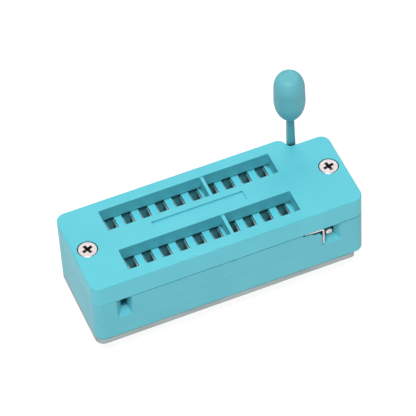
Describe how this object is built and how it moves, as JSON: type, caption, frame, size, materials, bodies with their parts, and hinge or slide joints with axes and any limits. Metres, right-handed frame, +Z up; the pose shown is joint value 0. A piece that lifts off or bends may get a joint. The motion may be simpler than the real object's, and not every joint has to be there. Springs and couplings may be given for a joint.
{
  "type": "zif test socket",
  "caption": "Zero-insertion-force socket for dual-in-line chips: two windows over a sliding contact bed, worked by an upright cam lever.",
  "frame": {"origin": "centre of the seating plane, on the underside of the bottom plate", "axes": "+X along the body towards the lever end, +Y towards the side that the lever stands on, +Z up out of the chip windows"},
  "size_m": [0.0408, 0.0162, 0.0288],
  "materials": {
    "cover_plastic": "fine satin moulded plastic, light cyan, crisp edges",
    "base_plastic": "fine satin moulded plastic, the cover's cyan a little greyer in use",
    "slider_plastic": "satin moulded plastic, light cyan",
    "lever_plastic": "satin moulded plastic, deeper teal",
    "plate_plastic": "matte light grey sheet",
    "contact_metal": "bright tin-plated spring strip",
    "drive_steel": "bright stamped and turned steel",
    "screw_steel": "bright nickel-plated steel"
  },
  "bodies": {
    "base": {"base_housing": "base_plastic", "bottom_plate": "plate_plastic", "top_cover": "cover_plastic", "screw_left": "screw_steel", "screw_right": "screw_steel", "contact_01": "contact_metal", "contact_02": "contact_metal", "contact_03": "contact_metal", "contact_04": "contact_metal", "contact_05": "contact_metal", "contact_06": "contact_metal", "contact_07": "contact_metal", "contact_08": "contact_metal", "contact_09": "contact_metal", "contact_10": "contact_metal", "contact_11": "contact_metal", "contact_12": "contact_metal", "contact_13": "contact_metal", "contact_14": "contact_metal", "contact_15": "contact_metal", "contact_16": "contact_metal", "contact_17": "contact_metal", "contact_18": "contact_metal", "contact_19": "contact_metal", "contact_20": "contact_metal"},
    "slider": {"slider_plate": "slider_plastic", "drive_plate": "drive_steel"},
    "lever": {"cam_shaft": "drive_steel", "lever_handle": "lever_plastic"}
  },
  "joints": [
    {"name": "lever_hinge", "type": "hinge", "parent": "base", "child": "lever", "pos_m": [0.01525, 0, 0.0064], "axis": [0, 1, 0], "range_deg": [0, 90]},
    {"name": "slider_slide", "type": "slide", "parent": "base", "child": "slider", "axis": [1, 0, 0], "range_m": [0, 0.0006]}
  ],
  "couplings": [
    {"joint": "lever_hinge", "follows": "slider_slide", "rad_per_m": 2618}
  ]
}
